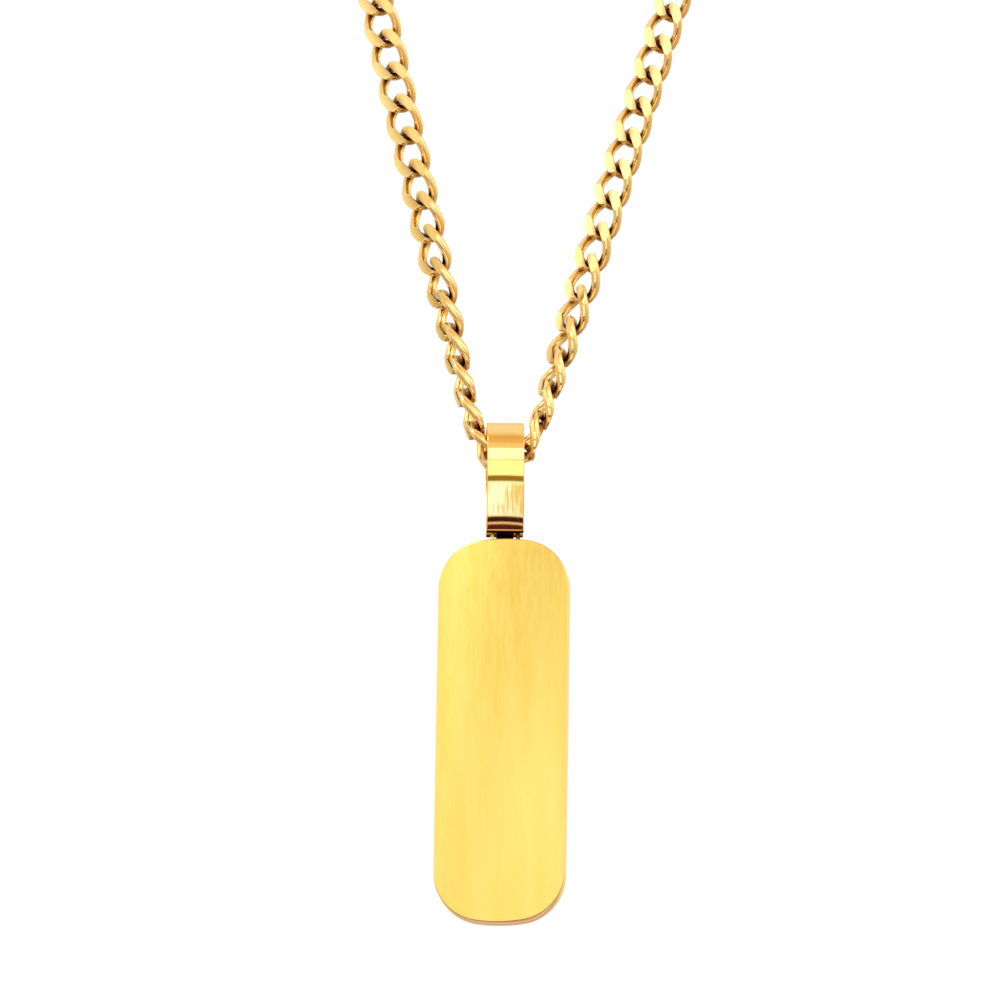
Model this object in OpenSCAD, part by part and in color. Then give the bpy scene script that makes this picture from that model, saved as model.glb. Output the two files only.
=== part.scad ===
// A plain bar pendant on a ribbon bail and a flattened curb chain.
// It hangs as it is worn: the chain is one loop in the XZ plane, and the
// origin is where the top of the loop sits on what holds it up.

/* [Bar] */
// Width of the bar
bar_w = 12; // [10:0.5:20]
// Height of the bar
bar_h = 36; // [24:0.5:50]
// Thickness of the bar
bar_t = 2; // [1.5:0.1:3]
// Radius of the four corners
bar_corner_r = 4.5; // [1:0.1:5]
// Radius of the gently domed short edges
bar_end_r = 15; // [12:0.5:40]
// How far the bar is turned under its staple, seen from above
bar_turn = -8; // [-12:0.5:12]
// How far the bar and its staple lean, their top to the right
bar_lean = 0.9; // [-2:0.1:2]

/* [Staple] */
// Width of the staple soldered on the bar, over its legs
staple_w = 2.7; // [2.6:0.1:3.2]
// Thickness of the staple's square wire
staple_wire = 0.36; // [0.3:0.02:0.4]

/* [Bail] */
// Width of the ribbon
bail_w = 3.4; // [3:0.1:4]
// Thickness of the ribbon
bail_t = 0.4; // [0.3:0.05:0.5]
// Inner radius of the bend that the chain runs through
bail_top_r = 2.5; // [2.5:0.05:3]
// Inner radius of the bend at the bail's foot
bail_foot_r = 0.75; // [0.75:0.05:0.9]
// Height between the centres of the two bends
bail_reach = 6.9; // [6:0.05:9]
// Outer radius of the bail's front and back, which bow out a little
bail_side_r = 20; // [14:1:60]
// Width of the foot, where it passes through the staple
bail_foot_w = 1.6; // [1.2:0.1:1.6]
// Angle from straight down over which the foot is that narrow, to each side
bail_foot_angle = 45; // [40:1:60]

/* [Chain] */
// Distance from one link to the next
pitch = 3.2; // [3.2:0.05:3.4]
// Length of a link, measured along the middle of its wire
link_l = 4.22; // [4.2:0.02:4.3]
// Width of a link, measured between the middles of its wires
link_w = 2.68; // [2.6:0.02:2.72]
// Thickness of the wire along the sides of a link, seen from the front
side_wire = 0.76; // [0.6:0.02:0.78]
// Depth of the wire along the sides of a link, from front to back
side_depth = 0.92; // [0.7:0.02:0.92]
// Thickness of the wire at the ends of a link
end_wire = 0.78; // [0.6:0.02:0.8]
// Depth of the wire at the ends of a link
end_depth = 0.88; // [0.7:0.02:0.88]
// Extra thickness, to each side, where the leaf-shaped flats are cut
leaf_swell = 0.1; // [0:0.02:0.1]
// Thickness left where the front and back of the chain are cut flat
cut_t = 1.4; // [1.3:0.02:1.6]
// How far each end of a link is twisted out of the flat
link_twist = 52; // [50:1:54]
// Links over which the left strand turns from edge-on to nearly flat, above the bail
left_turn = 6.7; // [5:0.1:12]
// Links over which the right strand turns from edge-on to nearly flat, above the bail
right_turn = 5.5; // [5:0.1:12]
// Turn that is left in the strands above that; it fades out towards the clasp
late_turn = 22; // [0:1:30]
// Angle of the two hanging strands above the horizontal
strand_rise = 75.35; // [75:0.05:76]
// How far the whole loop leans to the right
loop_lean = 2.3; // [0:0.1:3]
// Links in the straight part of the left strand; the right strand has one more
strand_links = 51; // [50:1:54]
// Links in each half of the arc round the top
arc_links = 24; // [23:1:25]

/* [Clasp] */
// Radius of the clasp's barrel
clasp_r = 1.25; // [1:0.05:1.6]
// Radius of the ring at each end of the clasp, to the middle of its wire
eye_r = 1.1; // [1:0.05:1.3]
// Thickness of the rings' wire
eye_wire = 0.6; // [0.5:0.05:0.65]

/* [Hidden] */

// Clearance between the foot of the bail and the bar below it or the staple above it
foot_gap = 0.2;
// How far the staple stands to the right of the bail's middle
staple_shift = 0.06;
// Height of the staple's crown above the bar, measured to its middle
staple_rise = foot_gap + bail_t + foot_gap + staple_wire / 2;
// Radius of the staple's shoulders, outside
staple_shoulder = 0.5;
// How far the staple's legs are sunk into the bar
staple_sink = 0.8;

// Facets of each small arc and of each large one
arc_facets = 18;
long_arc_facets = 12;
// Facets round the clasp's barrel, round each of its rings, and round the rings' wire
barrel_facets = 64;
ring_facets = 48;
ring_wire_facets = 24;
// Radius of the round edge at each end of the barrel, and its facets
barrel_edge_r = 0.45;
edge_facets = 6;
// Part of the rings' wire that is sunk into the barrel
ring_sink = 0.15;
// How far a cutting shape reaches past what it cuts
over_cut = 1;

// Sections round each link, and sides of its wire
link_steps = 10;
wire_sides = 5;
// How square a link's ends and sides are: 1 is an ellipse, and less is squarer
end_power = 0.92;
side_power = 0.72;
// Headings of the first two links of each half, which start inside the bail
left_headings = [60.4, 72.4];
right_headings = [11.75, 67.9];
// Shifts from back to front of the first link at the left and of the first two at the right,
// which let the links bend past each other, and how many links they fade over
left_shift = 0.08;
right_shifts = [-0.51, -0.99];
shift_fade = 12;
// Roll of the links inside the bail, away from lying edge-on
bail_roll = 4;
// Place of the bail's upper bend from the lowest joint of the chain: to the right, and up
bail_shift = 1.27;
bend_above_joint = 0.48;
// How far the arc turns past the horizontal at the right, and stays short of it at the left
arc_lean = 0.5;

// Points of an arc, from one angle to another
function arc(centre, r, from, to, facets) =
    [for (i = [0:facets]) let (a = from + (to - from) * i / facets) centre + r * [cos(a), sin(a)]];

// The chain's course: side is 1 for the right half and -1 for the left, and links are counted
// outwards from the lowest joint
function first_headings(side) = side > 0 ? right_headings : left_headings;
function straight_links(side) = side > 0 ? strand_links + 1 : strand_links;
function half_links(side) = len(first_headings(side)) + straight_links(side) + arc_links;
function heading(k, side) =
    let (first = first_headings(side), in_arc = k - len(first) - straight_links(side))
    k < len(first) ? first[k] :
    in_arc < 0 ? strand_rise :
    strand_rise + (in_arc + 0.5) * (180 + side * arc_lean - strand_rise) / arc_links;
// Points between the links of one half, in the plane of the loop
function step(k, side) = pitch * [side * cos(heading(k, side)), sin(heading(k, side))];
function course(side) = [for (k = 0, p = [0, 0]; k <= half_links(side); p = p + step(k, side), k = k + 1) p];
left_joints = course(-1);
right_joints = course(1);
left_top = left_joints[half_links(-1)];
right_top = right_joints[half_links(1)];
// The clasp spans the gap between the two halves
clasp_middle = (left_top + right_top) / 2;
clasp_span = norm(right_top - left_top);
clasp_tilt = atan2(right_top.y - left_top.y, right_top.x - left_top.x);

// A power that keeps the sign
function eased(v, power) = sign(v) * pow(abs(v), power);
// Middle of a link's wire, at angle t round the link
function wire_middle(t) =
    let (across = link_w / 2 * eased(sin(t), side_power), twist = -link_twist * cos(t))
    [link_l / 2 * eased(cos(t), end_power), across * cos(twist), across * sin(twist)];
function unit(v) = v / norm(v);
// One section of the wire: deeper than wide along the sides, wide where the leaves are, and
// cut flat front and back
function wire_section(t) =
    let (
        c = wire_middle(t),
        along = unit(wire_middle(t + 1) - wire_middle(t - 1)),
        outward = unit(cross(along, [0, 0, 1])),
        deep = cross(outward, along),
        near_end = 1 - pow(sin(t), 4),
        half_wire = (side_wire + (end_wire - side_wire) * near_end) / 2 + leaf_swell * pow(sin(2 * t), 2),
        half_depth = (side_depth + (end_depth - side_depth) * near_end) / 2
    )
    [for (j = [0:wire_sides - 1])
        let (
            a = 360 * j / wire_sides,
            p = c + outward * cos(a) * half_wire + deep * sin(a) * half_depth
        )
        [p.x, p.y, max(-cut_t / 2, min(cut_t / 2, p.z))]
    ];
link_points = [for (i = [0:link_steps - 1]) each wire_section((i + 0.5) * 360 / link_steps)];
link_faces = [for (i = [0:link_steps - 1], j = [0:wire_sides - 1], half = [0, 1])
    let (
        i2 = (i + 1) % link_steps,
        j2 = (j + 1) % wire_sides,
        a = i * wire_sides + j,
        b = i * wire_sides + j2,
        c = i2 * wire_sides + j2,
        d = i2 * wire_sides + j
    )
    half == 0 ? [a, b, c] : [a, c, d]];

// Roll of link k away from edge-on: the strand turns just above the bail, and then slowly
function turned(k, side) =
    let (
        nearly_flat = 90 - late_turn * (1 - k / half_links(side)),
        eased_in = k / (side > 0 ? right_turn : left_turn)
    )
    bail_roll + (nearly_flat - bail_roll) * (1 - exp(-eased_in * eased_in));
// Shift of link k from back to front
function shift(k, side) =
    side < 0 ? left_shift * max(0, 1 - k / shift_fade) :
    k == 0 ? right_shifts[0] :
    right_shifts[1] * max(0, 1 - (k - 1) / shift_fade);
// A point of link k, set in the loop
function set_link(p, k, side) =
    let (
        h = heading(k, side),
        roll = 90 + side * turned(k, side),
        joints = side > 0 ? right_joints : left_joints,
        along = [cos(h), 0, side * sin(h)],
        face = [sin(h) * side * sin(roll), -cos(roll), -cos(h) * sin(roll)],
        across = cross(face, along),
        middle = (joints[k] + joints[k + 1]) / 2
    )
    [middle.x, shift(k, side), middle.y] + p.x * along + p.y * across + p.z * face;

module chain_half(side) {
    color("gold")
    hang_loop()
    polyhedron(
        points = [for (k = [0:half_links(side) - 1], p = link_points) set_link(p, k, side)],
        faces = [for (k = [0:half_links(side) - 1], f = link_faces)
            [for (v = f) v + k * len(link_points)]]
    );
}

// The loop leans about the lowest joint, and the underside of its clasp rests on the origin
function leaned(p) =
    [p.x * cos(loop_lean) + p.y * sin(loop_lean), p.y * cos(loop_lean) - p.x * sin(loop_lean)];
rest_point = clasp_middle - clasp_r * [-sin(clasp_tilt), cos(clasp_tilt)];
low_joint = -leaned(rest_point);
module hang_loop() {
    translate([low_joint.x, 0, low_joint.y])
    rotate([0, loop_lean, 0])
    children();
}

module chain_left() chain_half(-1);
module chain_right() chain_half(1);

// Ring at one end of the clasp, tilted to lie square to the end of the last link
module eye(side) {
    translate([side * ((clasp_span + link_l - pitch) / 2 - eye_r), 0, 0])
    rotate([side * link_twist, 0, 0])
    rotate_extrude($fn = ring_facets)
    translate([eye_r, 0])
    circle(d = eye_wire, $fn = ring_wire_facets);
}

module clasp() {
    barrel = clasp_span + link_l - pitch - 4 * eye_r + 2 * ring_sink;
    color("gold")
    hang_loop()
    translate([clasp_middle.x, 0, clasp_middle.y])
    rotate([0, -clasp_tilt, 0])
    union() {
        translate([-barrel / 2, 0, 0])
        rotate([90, 0, 90])
        rotate_extrude($fn = barrel_facets)
        polygon(concat(
            [[0, 0]],
            arc([clasp_r - barrel_edge_r, barrel_edge_r], barrel_edge_r, 270, 360, edge_facets),
            arc([clasp_r - barrel_edge_r, barrel - barrel_edge_r], barrel_edge_r, 0, 90, edge_facets),
            [[0, barrel]]
        ));
        eye(-1);
        eye(1);
    }
}

// The bail hangs straight down from the chain
bail_axis = [low_joint.x + bail_shift, 0, low_joint.y + bend_above_joint];
bail_foot_z = bail_axis.z - bail_reach - bail_foot_r - bail_t;

// Outline of the ribbon seen from the side: two bends joined by bowed sides.
// Points are [y, z] from the centre of the upper bend.
function ribbon_outline(top_r, foot_r, side_r) =
    let (
        // the bowed side's centre is as far from each bend's centre as the radii differ
        from_top = side_r - top_r,
        from_foot = side_r - foot_r,
        cz = (from_foot * from_foot - from_top * from_top - bail_reach * bail_reach) / (2 * bail_reach),
        cy = sqrt(from_top * from_top - cz * cz),
        upper = atan2(-cz, -cy),
        lower = atan2(-bail_reach - cz, -cy),
        a_top = upper < 0 ? upper + 360 : upper,
        a_low = lower < 0 ? lower + 360 : lower,
        left = concat(
            arc([0, 0], top_r, 90, a_top, arc_facets),
            arc([cy, cz], side_r, a_top, a_low, long_arc_facets),
            arc([0, -bail_reach], foot_r, a_low, 270, arc_facets)
        )
    )
    concat(left, [for (i = [len(left) - 2:-1:1]) [-left[i].x, left[i].y]]);

module bail() {
    foot_outer = bail_foot_r + bail_t;
    foot_cut = foot_outer + over_cut;
    color("gold")
    translate(bail_axis)
    rotate([90, 0, 90])
    difference() {
        translate([0, 0, -bail_w / 2])
        linear_extrude(bail_w)
        difference() {
            polygon(ribbon_outline(bail_top_r + bail_t, foot_outer, bail_side_r));
            polygon(ribbon_outline(bail_top_r, bail_foot_r, bail_side_r - bail_t));
        }
        // both edges of the ribbon are cut away round its foot, which then fits the staple
        for (side = [-1, 1])
            translate([0, -bail_reach, side * (bail_foot_w + bail_w) / 2 - bail_w / 2])
            linear_extrude(bail_w)
            polygon([
                [0, 0],
                foot_cut * [-sin(bail_foot_angle), -cos(bail_foot_angle)],
                foot_cut * [0, -1],
                foot_cut * [sin(bail_foot_angle), -cos(bail_foot_angle)]
            ]);
    }
}

// Outline of the bar from the front, as [x, z] from its middle
function bar_outline() =
    let (
        corner_x = bar_w / 2 - bar_corner_r,
        end_z = bar_h / 2 - bar_end_r,
        open = acos(corner_x / (bar_end_r - bar_corner_r)),
        corner_z = end_z + (bar_end_r - bar_corner_r) * sin(open)
    )
    concat(
        arc([corner_x, corner_z], bar_corner_r, 0, open, arc_facets),
        arc([0, end_z], bar_end_r, open, 180 - open, long_arc_facets),
        arc([-corner_x, corner_z], bar_corner_r, 180 - open, 180, arc_facets),
        arc([-corner_x, -corner_z], bar_corner_r, 180, 180 + open, arc_facets),
        arc([0, -end_z], bar_end_r, 180 + open, 360 - open, long_arc_facets),
        arc([corner_x, -corner_z], bar_corner_r, 360 - open, 360, arc_facets)
    );

// Arch with round shoulders, standing on z = 0 and sunk below it, as [x, z]
function arch(half_w, h, shoulder) =
    concat(
        [[half_w, -staple_sink]],
        arc([half_w - shoulder, h - shoulder], shoulder, 0, 90, arc_facets),
        arc([shoulder - half_w, h - shoulder], shoulder, 90, 180, arc_facets),
        [[-half_w, -staple_sink]]
    );

// The bar and its staple lean about the middle of the staple's crown
module bar() {
    crown = staple_rise + staple_wire / 2;
    inner_shoulder = staple_shoulder - staple_wire;
    color("gold")
    translate([bail_axis.x + staple_shift, 0, bail_foot_z - foot_gap + staple_rise])
    rotate([0, bar_lean, 0])
    translate([0, 0, -staple_rise])
    union() {
        rotate([0, 0, bar_turn])
        translate([0, bar_t / 2, -bar_h / 2])
        rotate([90, 0, 0])
        linear_extrude(bar_t)
        polygon(bar_outline());

        translate([0, staple_wire / 2, 0])
        rotate([90, 0, 0])
        linear_extrude(staple_wire)
        difference() {
            polygon(arch(staple_w / 2, crown, staple_shoulder));
            translate([0, -over_cut])
            polygon(arch(staple_w / 2 - staple_wire, crown - staple_wire + over_cut, inner_shoulder));
        }
    }
}

chain_left();
chain_right();
clasp();
bail();
bar();
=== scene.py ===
# %% [markdown]
# A bar pendant on a curb chain
#
# The object is a plain gold-toned bar that hangs from a ribbon bail on a flattened curb chain. Its
# solids were made elsewhere, at real size. This lesson loads them, remakes the pieces that need
# finer shapes, gives each metal its finish, and lights the whole like a small studio.

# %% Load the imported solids
import math

import bmesh
import bpy
from mathutils import Matrix, Vector
from mathutils.bvhtree import BVHTree


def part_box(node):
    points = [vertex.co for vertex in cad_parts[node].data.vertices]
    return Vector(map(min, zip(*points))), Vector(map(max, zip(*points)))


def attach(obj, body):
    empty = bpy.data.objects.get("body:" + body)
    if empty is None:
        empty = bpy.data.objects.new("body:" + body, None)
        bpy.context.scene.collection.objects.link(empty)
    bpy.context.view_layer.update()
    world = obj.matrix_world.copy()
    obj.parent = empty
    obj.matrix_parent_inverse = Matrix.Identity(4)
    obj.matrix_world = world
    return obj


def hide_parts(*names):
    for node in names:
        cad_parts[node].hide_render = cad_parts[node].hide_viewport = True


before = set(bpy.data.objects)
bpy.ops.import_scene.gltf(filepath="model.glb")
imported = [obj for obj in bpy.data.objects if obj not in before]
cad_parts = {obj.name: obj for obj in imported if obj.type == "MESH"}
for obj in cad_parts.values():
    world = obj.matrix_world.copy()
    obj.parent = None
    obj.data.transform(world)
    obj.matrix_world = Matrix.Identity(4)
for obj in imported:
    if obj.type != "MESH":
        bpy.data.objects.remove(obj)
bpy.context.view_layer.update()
print("solids:", sorted(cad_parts))

# %% [markdown]
# Sizes
#
# A jeweller works in millimetres and Blender in metres, so sizes are written in millimetres and
# multiplied by MM once. The places come from the solids: the bail's box gives the height of
# everything that hangs from it.

# %% Name the driving sizes
MM = 0.001

BAR_WIDTH, BAR_HEIGHT, BAR_THICKNESS = 12.0, 36.0, 2.0
BAR_CORNER_RADIUS, BAR_END_RADIUS = 4.5, 15.0
BAR_TURN, BAR_LEAN = math.radians(-8), math.radians(0.9)

STAPLE_WIDTH, STAPLE_WIRE, STAPLE_SHOULDER = 2.7, 0.36, 0.5
STAPLE_SHIFT = 0.06

BAIL_WIDTH, BAIL_THICKNESS = 3.4, 0.4
BAIL_TOP_RADIUS, BAIL_FOOT_RADIUS, BAIL_SIDE_RADIUS = 2.5, 0.75, 20.0
BAIL_REACH = 6.9
BAIL_FOOT_WIDTH, BAIL_FOOT_ANGLE = 1.6, math.radians(45)
FOOT_GAP = 0.2

bail_low, bail_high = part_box("bail")
bail_x = (bail_low[0] + bail_high[0]) / 2 / MM
bail_axis_z = bail_high[2] / MM - BAIL_TOP_RADIUS - BAIL_THICKNESS
bar_top_z = bail_low[2] / MM - FOOT_GAP
print("bail hangs at x", round(bail_x, 2), "z", round(bail_axis_z, 2))
print("bar's top is at z", round(bar_top_z, 2))

# %% [markdown]
# Helpers for meshes and outlines
#
# The first pair turns points and faces into a finished object at the origin, in metres, with its
# faces pointing outwards. The second pair gives the points of an arc, because every outline here
# is made of arcs, and drops the points that two arcs share.

# %% Make the mesh helpers
SMOOTH_UNDER = 35
SAME_PLACE, SAME_PLACE_IN_MM = 1e-7, 1e-4


def make_piece(name, points, faces, mend_normals=True):
    """An object from points in millimetres and faces."""
    mesh = bpy.data.meshes.new(name)
    mesh.from_pydata([tuple(MM * v for v in p) for p in points], [], faces)
    finish_mesh(mesh, mend_normals)
    piece = bpy.data.objects.new(name, mesh)
    bpy.context.collection.objects.link(piece)
    return piece


def finish_mesh(mesh, mend_normals):
    """Merge the doubles, turn the faces outwards, and shade what isn't an edge smooth."""
    if mend_normals:
        build = bmesh.new()
        build.from_mesh(mesh)
        bmesh.ops.remove_doubles(build, verts=build.verts, dist=SAME_PLACE)
        bmesh.ops.recalc_face_normals(build, faces=build.faces)
        build.to_mesh(mesh)
        build.free()
    mesh.polygons.foreach_set("use_smooth", [True] * len(mesh.polygons))
    mesh.set_sharp_from_angle(angle=math.radians(SMOOTH_UNDER))


def arc(centre, radius, start, end, steps):
    """Points from one angle to another, in degrees."""
    angles = [math.radians(start + (end - start) * i / steps) for i in range(steps + 1)]
    return [(centre[0] + radius * math.cos(a), centre[1] + radius * math.sin(a)) for a in angles]


def without_repeats(outline):
    """The same outline with each point once, because arcs meet at shared points."""
    following = outline[1:] + outline[:1]
    return [p for p, q in zip(outline, following) if math.dist(p, q) > SAME_PLACE_IN_MM]


print("a quarter circle in 4 steps:", [[round(v, 2) for v in p] for p in arc((0, 0), 1, 0, 90, 4)])

# %% [markdown]
# Brushed metal, polished metal
#
# Brushing leaves fine parallel scratches, and polishing leaves finer ones. A noise that is
# stretched along one axis gives such lines. Every finish here uses it, so it is a node group with
# its own inputs, built once. Beside the fine lines it gives a broad, slow change.

# %% Build the shared scratch group
FINE_DETAIL, FINE_ROUGHNESS = 4.0, 0.65
BROAD_SCALE, BROAD_DETAIL = 0.16, 2.0


def build_scratch_group():
    """Fine lines and a broad change, both stretched by three scales."""
    group = bpy.data.node_groups.new("fine scratches", "ShaderNodeTree")
    face = group.interface
    face.new_socket("Along X", in_out="INPUT", socket_type="NodeSocketFloat").default_value = 1.0
    face.new_socket("Along Y", in_out="INPUT", socket_type="NodeSocketFloat").default_value = 1.0
    face.new_socket("Along Z", in_out="INPUT", socket_type="NodeSocketFloat").default_value = 1.0
    face.new_socket("Height", in_out="OUTPUT", socket_type="NodeSocketFloat")
    face.new_socket("Broad", in_out="OUTPUT", socket_type="NodeSocketFloat")
    nodes, links = group.nodes, group.links
    given = nodes.new("NodeGroupInput")
    result = nodes.new("NodeGroupOutput")
    place = nodes.new("ShaderNodeTexCoord")
    scale = nodes.new("ShaderNodeCombineXYZ")
    stretch = nodes.new("ShaderNodeVectorMath")
    stretch.operation = "MULTIPLY"
    fine = nodes.new("ShaderNodeTexNoise")
    fine.inputs["Scale"].default_value = 1.0
    fine.inputs["Detail"].default_value = FINE_DETAIL
    fine.inputs["Roughness"].default_value = FINE_ROUGHNESS
    broad = nodes.new("ShaderNodeTexNoise")
    broad.inputs["Scale"].default_value = BROAD_SCALE
    broad.inputs["Detail"].default_value = BROAD_DETAIL
    for axis in "XYZ":
        links.new(given.outputs["Along " + axis], scale.inputs[axis])
    links.new(place.outputs["Object"], stretch.inputs[0])
    links.new(scale.outputs["Vector"], stretch.inputs[1])
    links.new(stretch.outputs["Vector"], fine.inputs["Vector"])
    links.new(stretch.outputs["Vector"], broad.inputs["Vector"])
    links.new(fine.outputs["Fac"], result.inputs["Height"])
    links.new(broad.outputs["Fac"], result.inputs["Broad"])
    return group


scratches = build_scratch_group()
print("group:", scratches.name, "with", len(scratches.nodes), "nodes")

# %% [markdown]
# Painted shade in recesses
#
# The gaps between the links and the pit under the bail get painted shade: their colour is darkened
# where shadow falls. Some meshes carry an attribute that is 1 in such places and 0 in the open.
# This group mixes the metal's colour with a dark shade colour by it.


# %% Build the shared painted-shade group
def build_painted_shade_group():
    """Painted shade: where the mesh marks shade, the colour goes dark."""
    group = bpy.data.node_groups.new("painted recess shade", "ShaderNodeTree")
    face = group.interface
    face.new_socket("Colour", in_out="INPUT", socket_type="NodeSocketColor")
    dark = face.new_socket("Recess colour", in_out="INPUT", socket_type="NodeSocketColor")
    dark.default_value = (0.16, 0.045, 0.008, 1)
    face.new_socket("Colour", in_out="OUTPUT", socket_type="NodeSocketColor")
    nodes, links = group.nodes, group.links
    given = nodes.new("NodeGroupInput")
    result = nodes.new("NodeGroupOutput")
    stored = nodes.new("ShaderNodeAttribute")
    stored.attribute_name = "painted_shade"
    mix = nodes.new("ShaderNodeMix")
    mix.data_type = "RGBA"
    links.new(stored.outputs["Fac"], mix.inputs["Factor"])
    links.new(given.outputs["Colour"], mix.inputs["A"])
    links.new(given.outputs["Recess colour"], mix.inputs["B"])
    links.new(mix.outputs["Result"], result.inputs["Colour"])
    return group


painted_shade_group = build_painted_shade_group()
print("group:", painted_shade_group.name, "with", len(painted_shade_group.nodes), "nodes")

# %% [markdown]
# Painted reflection streaks
#
# The front of the ribbon shows short upright streaks on its lower half, where it reflects its
# surroundings: a painted reflection, pale at the left and warm at the right. A stretched noise makes
# the border between the two colours ragged, and the streaks fade out at two heights.

# %% Build the streak group
STREAK_SCALE = (4600, 500, 500)
STREAK_FADE = 0.5
STREAK_CONTRAST, WARM_SHARE = (0.35, 0.65), (0.25, 0.85)


def build_streak_group():
    """Between two heights, a painted reflection in streaks: pale at the left and warm at the right."""
    group = bpy.data.node_groups.new("painted reflection streaks", "ShaderNodeTree")
    face = group.interface
    face.new_socket("Colour", in_out="INPUT", socket_type="NodeSocketColor")
    # Both streak colours are painted reflection: pale at the left, warm at the right
    light = face.new_socket("Light streak", in_out="INPUT", socket_type="NodeSocketColor")
    light.default_value = (1.0, 0.78, 0.38, 1)
    warm = face.new_socket("Warm streak", in_out="INPUT", socket_type="NodeSocketColor")
    warm.default_value = (0.95, 0.46, 0.10, 1)
    for name in ("Lowest", "Highest", "Leftmost", "Rightmost"):
        face.new_socket(name, in_out="INPUT", socket_type="NodeSocketFloat")
    face.new_socket("Colour", in_out="OUTPUT", socket_type="NodeSocketColor")
    nodes, links = group.nodes, group.links

    def calculated(operation, a, b):
        node = nodes.new("ShaderNodeMath")
        node.operation = operation
        for socket, value in zip(node.inputs, (a, b)):
            if isinstance(value, float):
                socket.default_value = value
            else:
                links.new(value, socket)
        return node.outputs["Value"]

    def rising(value, start, end):
        node = nodes.new("ShaderNodeMapRange")
        links.new(value, node.inputs["Value"])
        for socket, bound in (("From Min", start), ("From Max", end)):
            if isinstance(bound, float):
                node.inputs[socket].default_value = bound
            else:
                links.new(bound, node.inputs[socket])
        return node.outputs["Result"]

    def blended(factor, a, b):
        node = nodes.new("ShaderNodeMix")
        node.data_type = "RGBA"
        for socket, value in (("Factor", factor), ("A", a), ("B", b)):
            links.new(value, node.inputs[socket])
        return node.outputs["Result"]

    given = nodes.new("NodeGroupInput").outputs
    result = nodes.new("NodeGroupOutput")
    place = nodes.new("ShaderNodeTexCoord")
    part = nodes.new("ShaderNodeSeparateXYZ")
    links.new(place.outputs["Object"], part.inputs["Vector"])
    stretch = nodes.new("ShaderNodeVectorMath")
    stretch.operation = "MULTIPLY"
    stretch.inputs[1].default_value = STREAK_SCALE
    links.new(place.outputs["Object"], stretch.inputs[0])
    streaks = nodes.new("ShaderNodeTexNoise")
    streaks.inputs["Scale"].default_value = 1.0
    links.new(stretch.outputs["Vector"], streaks.inputs["Vector"])
    fade = STREAK_FADE * MM
    above = rising(part.outputs["Z"], given["Lowest"], calculated("ADD", given["Lowest"], fade))
    below = rising(part.outputs["Z"], given["Highest"], calculated("ADD", given["Highest"], -fade))
    across = rising(part.outputs["X"], given["Leftmost"], given["Rightmost"])
    streak = calculated("ADD", rising(streaks.outputs["Fac"], *STREAK_CONTRAST), -0.5)
    warmth = rising(calculated("ADD", across, streak), *WARM_SHARE)
    reflection_streaks = blended(warmth, given["Light streak"], given["Warm streak"])
    whole = blended(calculated("MULTIPLY", above, below), given["Colour"], reflection_streaks)
    links.new(whole, result.inputs["Colour"])
    return group


reflection_streak_group = build_streak_group()
print("group:", reflection_streak_group.name, "with", len(reflection_streak_group.nodes), "nodes")

# %% [markdown]
# Gold finishes
#
# Every part is the same gold-toned plate, so one function makes each finish from a few values: its
# two colours, how rough it is, and how its scratches run. The colour wanders a little between the
# two colours, because a flat colour looks like paint.

# %% Make a function for gold
TINT_CONTRAST, ROUGH_CONTRAST = (0.8, 1.2), (0.3, 0.7)
BUMP_STRENGTH = 0.5


def gold(name, colour, deeper, painted_shade, rough, scratch_scale, scratch_depth):
    """A metal whose scratches run by three scales and are as deep as given in mm."""
    material = bpy.data.materials.new(name)
    material.use_nodes = True
    nodes, links = material.node_tree.nodes, material.node_tree.links
    metal = nodes["Principled BSDF"]
    metal.inputs["Metallic"].default_value = 1.0
    marks = nodes.new("ShaderNodeGroup")
    marks.node_tree = scratches
    for axis, value in zip("XYZ", scratch_scale):
        marks.inputs["Along " + axis].default_value = value
    tint = nodes.new("ShaderNodeMix")
    tint.data_type = "RGBA"
    tint.inputs["A"].default_value = (*deeper, 1)
    tint.inputs["B"].default_value = (*colour, 1)
    wander = nodes.new("ShaderNodeMath")
    links.new(marks.outputs["Broad"], wander.inputs[0])
    links.new(marks.outputs["Height"], wander.inputs[1])
    contrast = nodes.new("ShaderNodeMapRange")
    contrast.inputs["From Min"].default_value = TINT_CONTRAST[0]
    contrast.inputs["From Max"].default_value = TINT_CONTRAST[1]
    links.new(wander.outputs["Value"], contrast.inputs["Value"])
    links.new(contrast.outputs["Result"], tint.inputs["Factor"])
    # Painted shade: the colour goes dark where the mesh marks shade
    darkened = nodes.new("ShaderNodeGroup")
    darkened.node_tree = painted_shade_group
    darkened.inputs["Recess colour"].default_value = (*painted_shade, 1)
    links.new(tint.outputs["Result"], darkened.inputs["Colour"])
    links.new(darkened.outputs["Colour"], metal.inputs["Base Color"])
    dullness = nodes.new("ShaderNodeMapRange")
    dullness.inputs["From Min"].default_value = ROUGH_CONTRAST[0]
    dullness.inputs["From Max"].default_value = ROUGH_CONTRAST[1]
    dullness.inputs["To Min"].default_value = rough[0]
    dullness.inputs["To Max"].default_value = rough[1]
    links.new(marks.outputs["Height"], dullness.inputs["Value"])
    links.new(dullness.outputs["Result"], metal.inputs["Roughness"])
    bump = nodes.new("ShaderNodeBump")
    bump.inputs["Strength"].default_value = BUMP_STRENGTH
    bump.inputs["Distance"].default_value = scratch_depth * MM
    links.new(marks.outputs["Height"], bump.inputs["Height"])
    links.new(bump.outputs["Normal"], metal.inputs["Normal"])
    return material


print("finishes share the groups", scratches.name, "and", painted_shade_group.name)
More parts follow.
